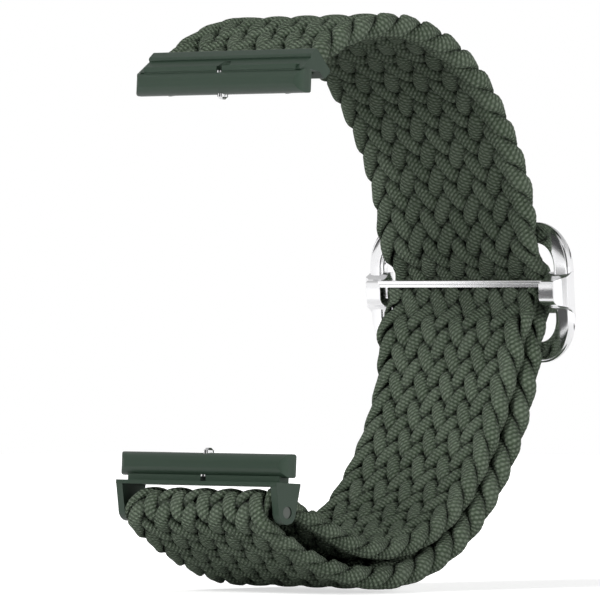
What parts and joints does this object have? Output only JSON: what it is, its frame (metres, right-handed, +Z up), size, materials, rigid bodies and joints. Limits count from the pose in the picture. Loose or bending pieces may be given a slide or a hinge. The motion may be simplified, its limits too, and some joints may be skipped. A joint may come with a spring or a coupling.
{
  "type": "braided stretch watch band",
  "caption": "Braided elastic watch band in a closed-up loop, with a sliding steel buckle and slide-in connectors for the watch case.",
  "frame": {"origin": "centre of the upper connector's slide tongue", "axes": "+X across the strap, along the slide tongues; +Y from the watch towards the buckle; +Z up, towards the upper connector, with the band stored in the shape it is worn in"},
  "size_m": [0.029, 0.042, 0.0582],
  "materials": {
    "strap": "matte",
    "connector": "satin",
    "steel": "polished",
    "spring": "satin",
    "rubber": "matte"
  },
  "bodies": {
    "strap": {"strap_crown_run": "strap", "strap_upper_feed": "strap", "strap_outer_feed": "strap", "strap_outer_run": "strap", "strap_lower_loop": "strap", "strap_inner_run": "strap", "strap_return_feed": "strap", "upper_connector": "connector", "upper_lock_spring": "spring", "upper_lock_plug": "steel", "upper_grip_pads": "rubber"},
    "buckle": {"buckle_frame": "steel", "end_crimp": "steel", "strap_buckle_pass": "strap", "strap_clamped_end": "strap"},
    "upper_button": {"upper_lock_button": "steel"},
    "lower_connector": {"lower_connector": "connector", "lower_cross_bar": "steel", "lower_lock_spring": "spring", "lower_lock_plug": "steel", "lower_grip_pads": "rubber"},
    "lower_button": {"lower_lock_button": "steel"}
  },
  "joints": [
    {"name": "buckle_slide", "type": "hinge", "parent": "strap", "child": "buckle", "pos_m": [0, 0.00159, -0.02161], "axis": [1, 0, 0], "range_deg": [-8.58, 8.58], "deforming": ["strap_upper_feed", "strap_outer_feed", "strap_return_feed"]},
    {"name": "lower_connector_swivel", "type": "hinge", "parent": "strap", "child": "lower_connector", "pos_m": [0, -0.00236, -0.04313], "axis": [1, 0, 0], "range_deg": [-15, 15]},
    {"name": "upper_lock_press", "type": "slide", "parent": "strap", "child": "upper_button", "axis": [0, 0.0547, 0.9985], "range_m": [0, 0.00045], "stiffness_N_per_m": 1500, "deforming": ["upper_lock_spring"]},
    {"name": "lower_lock_press", "type": "slide", "parent": "lower_connector", "child": "lower_button", "axis": [0, -0.0547, -0.9985], "range_m": [0, 0.00045], "stiffness_N_per_m": 1500, "deforming": ["lower_lock_spring"]}
  ]
}
